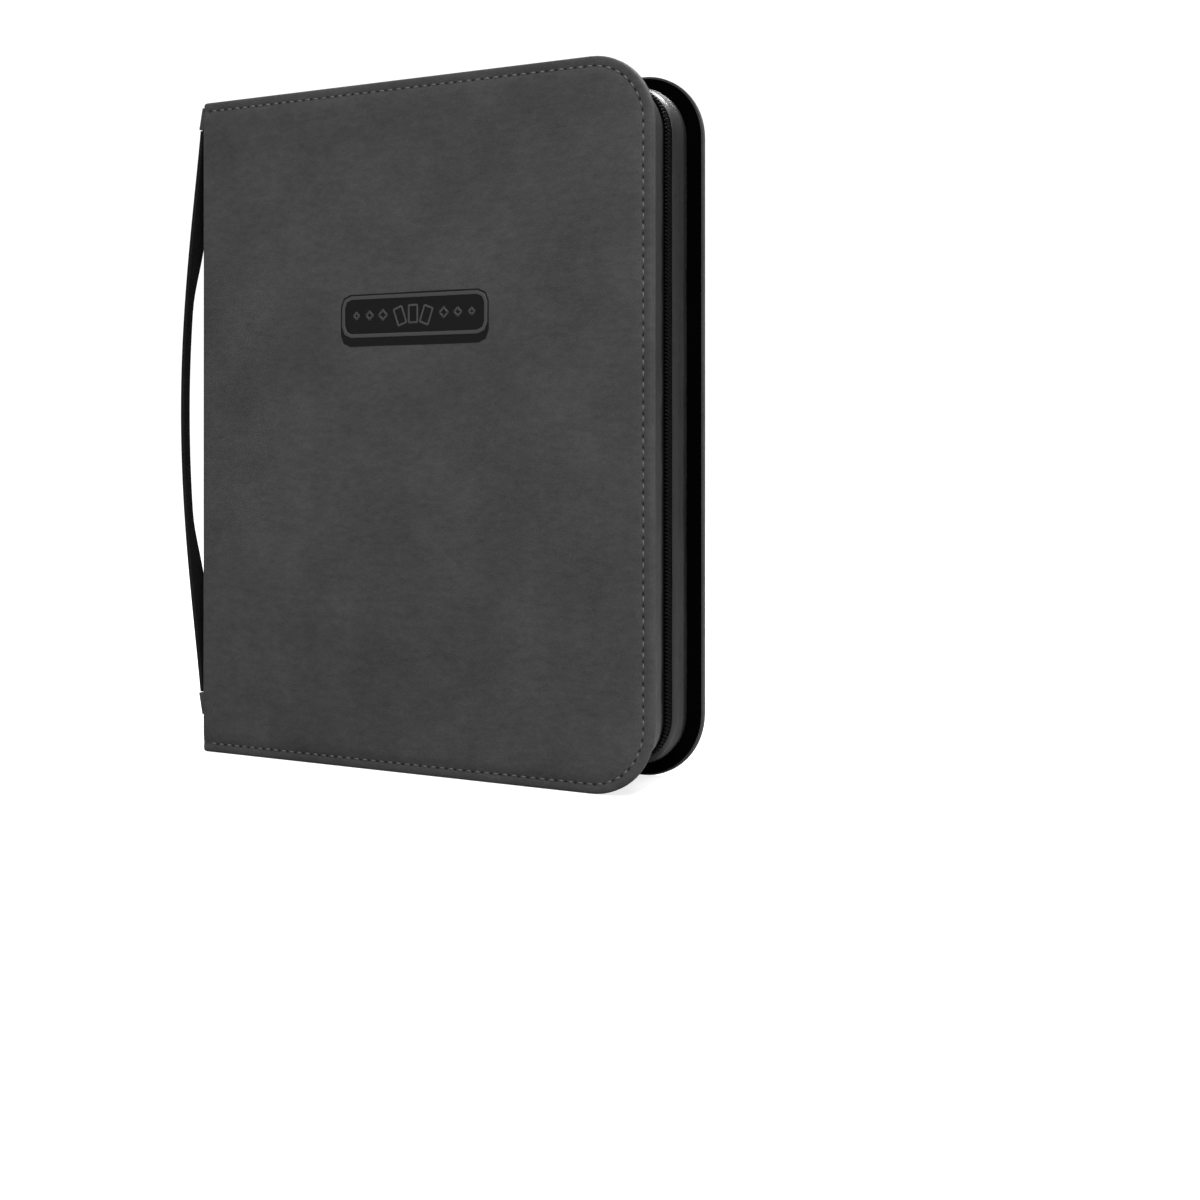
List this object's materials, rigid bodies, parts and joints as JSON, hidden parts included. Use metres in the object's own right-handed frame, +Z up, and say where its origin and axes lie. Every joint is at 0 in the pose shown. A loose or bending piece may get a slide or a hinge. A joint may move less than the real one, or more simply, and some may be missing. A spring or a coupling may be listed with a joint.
{
  "type": "trading card binder",
  "caption": "Zip-around padded card binder with a hinged spine, ring mechanism, pocket leaves and a slim carry strap.",
  "frame": {"origin": "middle of the bounding box's underside: the binder stands closed on its lower edges", "axes": "+Z up along the spine, +X from the spine to the zipped fore edge, front cover facing -Y"},
  "size_m": [0.2982, 0.062, 0.36],
  "materials": {
    "cover_leather": "matte grained PU leather",
    "padding_foam": "thin foam under the skin",
    "greyboard": "raw greyboard",
    "lining": "smooth satin PU lining",
    "gusset_leather": "soft PU leather",
    "zip_tape": "woven polyester tape",
    "zip_nylon": "nylon coil",
    "badge_rubber": "moulded soft plaque",
    "nickel": "bright nickel plate",
    "zip_metal": "black nickel",
    "leaf_film": "clear pocket film over a dark side-loading sheet"
  },
  "bodies": {
    "back_cover": {"back_skin": "cover_leather", "back_padding": "padding_foam", "back_board": "greyboard", "back_lining": "lining", "back_gusset": "gusset_leather", "back_zip_tape": "zip_tape", "back_zip_teeth": "zip_nylon"},
    "spine": {"spine_skin": "cover_leather", "spine_board": "greyboard", "spine_lining": "lining", "ring_cover_plate": "nickel", "rivet_top": "nickel", "rivet_bottom": "nickel", "booster_pin_top": "nickel", "booster_pin_bottom": "nickel", "strap_tab_top": "cover_leather", "strap_tab_bottom": "cover_leather"},
    "front_cover": {"front_skin": "cover_leather", "front_badge": "badge_rubber", "front_padding": "padding_foam", "front_board": "greyboard", "front_lining": "lining", "front_gusset": "gusset_leather", "front_zip_tape": "zip_tape", "front_zip_teeth": "zip_nylon"},
    "rings_back": {"blade_back": "nickel", "ring_back_top": "nickel", "ring_back_middle": "nickel", "ring_back_bottom": "nickel"},
    "rings_front": {"blade_front": "nickel", "ring_front_top": "nickel", "ring_front_middle": "nickel", "ring_front_bottom": "nickel"},
    "booster_top": {"booster_top": "nickel"},
    "booster_bottom": {"booster_bottom": "nickel"},
    "zip_slider": {"zip_slider": "zip_metal"},
    "zip_pull": {"zip_pull": "zip_metal"},
    "carry_strap": {"carry_strap": "cover_leather"},
    "leaf_01": {"leaf_01": "leaf_film"},
    "leaf_02": {"leaf_02": "leaf_film"},
    "leaf_03": {"leaf_03": "leaf_film"},
    "leaf_04": {"leaf_04": "leaf_film"},
    "leaf_05": {"leaf_05": "leaf_film"},
    "leaf_06": {"leaf_06": "leaf_film"},
    "leaf_07": {"leaf_07": "leaf_film"},
    "leaf_08": {"leaf_08": "leaf_film"},
    "leaf_09": {"leaf_09": "leaf_film"},
    "leaf_10": {"leaf_10": "leaf_film"},
    "leaf_11": {"leaf_11": "leaf_film"},
    "leaf_12": {"leaf_12": "leaf_film"},
    "leaf_13": {"leaf_13": "leaf_film"}
  },
  "joints": [
    {"name": "spine_hinge", "type": "hinge", "parent": "back_cover", "child": "spine", "pos_m": [-0.13085, 0.031, 0.18], "axis": [0, 0, -1], "range_deg": [0, 90]},
    {"name": "front_hinge", "type": "hinge", "parent": "spine", "child": "front_cover", "pos_m": [-0.13085, -0.031, 0.18], "axis": [0, 0, -1], "range_deg": [0, 90]},
    {"name": "ring_open", "type": "hinge", "parent": "spine", "child": "rings_back", "pos_m": [-0.12445, 0.0122, 0.18], "axis": [0, 0, -1], "range_deg": [-12, 0]},
    {"name": "ring_front_turn", "type": "hinge", "parent": "spine", "child": "rings_front", "pos_m": [-0.12445, -0.0122, 0.18], "axis": [0, 0, -1], "range_deg": [0, 12]},
    {"name": "booster_top_turn", "type": "hinge", "parent": "spine", "child": "booster_top", "pos_m": [-0.12325, 0, 0.323], "axis": [0, 1, 0], "range_deg": [-21.6, 0]},
    {"name": "booster_bottom_turn", "type": "hinge", "parent": "spine", "child": "booster_bottom", "pos_m": [-0.12325, 0, 0.037], "axis": [0, -1, 0], "range_deg": [-21.6, 0]},
    {"name": "zip_slide", "type": "slide", "parent": "back_cover", "child": "zip_slider", "axis": [1, 0, 0], "range_m": [0, 0.19]},
    {"name": "pull_swing", "type": "hinge", "parent": "zip_slider", "child": "zip_pull", "pos_m": [-0.10435, 0.0045, 0.3552], "axis": [0, -1, 0], "range_deg": [0, 155]},
    {"name": "strap_swing", "type": "hinge", "parent": "spine", "child": "carry_strap", "pos_m": [-0.13355, -0.0255, 0.18], "axis": [0, 0, 1], "range_deg": [-30, 30]},
    {"name": "leaf_01_turn", "type": "hinge", "parent": "leaf_07", "child": "leaf_01", "pos_m": [-0.10235, 0, 0.18], "axis": [0, 0, -1], "range_deg": [0, 90]},
    {"name": "leaf_02_turn", "type": "hinge", "parent": "leaf_07", "child": "leaf_02", "pos_m": [-0.10235, 0, 0.18], "axis": [0, 0, -1], "range_deg": [0, 85.5]},
    {"name": "leaf_03_turn", "type": "hinge", "parent": "leaf_07", "child": "leaf_03", "pos_m": [-0.10235, 0, 0.18], "axis": [0, 0, -1], "range_deg": [0, 81]},
    {"name": "leaf_04_turn", "type": "hinge", "parent": "leaf_07", "child": "leaf_04", "pos_m": [-0.10235, 0, 0.18], "axis": [0, 0, -1], "range_deg": [0, 76.5]},
    {"name": "leaf_05_turn", "type": "hinge", "parent": "leaf_07", "child": "leaf_05", "pos_m": [-0.10235, 0, 0.18], "axis": [0, 0, -1], "range_deg": [0, 72]},
    {"name": "leaf_06_turn", "type": "hinge", "parent": "leaf_07", "child": "leaf_06", "pos_m": [-0.10235, 0, 0.18], "axis": [0, 0, -1], "range_deg": [0, 67.5]},
    {"name": "leaf_07_turn", "type": "hinge", "parent": "rings_back", "child": "leaf_07", "pos_m": [-0.10235, 0, 0.18], "axis": [0, 0, -1], "range_deg": [0, 12]},
    {"name": "leaf_08_turn", "type": "hinge", "parent": "leaf_07", "child": "leaf_08", "pos_m": [-0.10235, 0, 0.18], "axis": [0, 0, 1], "range_deg": [0, 67.5]},
    {"name": "leaf_09_turn", "type": "hinge", "parent": "leaf_07", "child": "leaf_09", "pos_m": [-0.10235, 0, 0.18], "axis": [0, 0, 1], "range_deg": [0, 72]},
    {"name": "leaf_10_turn", "type": "hinge", "parent": "leaf_07", "child": "leaf_10", "pos_m": [-0.10235, 0, 0.18], "axis": [0, 0, 1], "range_deg": [0, 76.5]},
    {"name": "leaf_11_turn", "type": "hinge", "parent": "leaf_07", "child": "leaf_11", "pos_m": [-0.10235, 0, 0.18], "axis": [0, 0, 1], "range_deg": [0, 81]},
    {"name": "leaf_12_turn", "type": "hinge", "parent": "leaf_07", "child": "leaf_12", "pos_m": [-0.10235, 0, 0.18], "axis": [0, 0, 1], "range_deg": [0, 85.5]},
    {"name": "leaf_13_turn", "type": "hinge", "parent": "leaf_07", "child": "leaf_13", "pos_m": [-0.10235, 0, 0.18], "axis": [0, 0, 1], "range_deg": [0, 90]}
  ],
  "couplings": [
    {"joint": "ring_front_turn", "follows": "ring_open", "ratio": -1},
    {"joint": "booster_top_turn", "follows": "ring_open", "ratio": 1.8},
    {"joint": "booster_bottom_turn", "follows": "ring_open", "ratio": 1.8},
    {"joint": "leaf_01_turn", "follows": "front_hinge", "ratio": 1},
    {"joint": "leaf_02_turn", "follows": "front_hinge", "ratio": 0.95},
    {"joint": "leaf_03_turn", "follows": "front_hinge", "ratio": 0.9},
    {"joint": "leaf_04_turn", "follows": "front_hinge", "ratio": 0.85},
    {"joint": "leaf_05_turn", "follows": "front_hinge", "ratio": 0.8},
    {"joint": "leaf_06_turn", "follows": "front_hinge", "ratio": 0.75},
    {"joint": "leaf_07_turn", "follows": "ring_open", "ratio": -1},
    {"joint": "leaf_08_turn", "follows": "spine_hinge", "ratio": 0.75},
    {"joint": "leaf_09_turn", "follows": "spine_hinge", "ratio": 0.8},
    {"joint": "leaf_10_turn", "follows": "spine_hinge", "ratio": 0.85},
    {"joint": "leaf_11_turn", "follows": "spine_hinge", "ratio": 0.9},
    {"joint": "leaf_12_turn", "follows": "spine_hinge", "ratio": 0.95},
    {"joint": "leaf_13_turn", "follows": "spine_hinge", "ratio": 1}
  ]
}
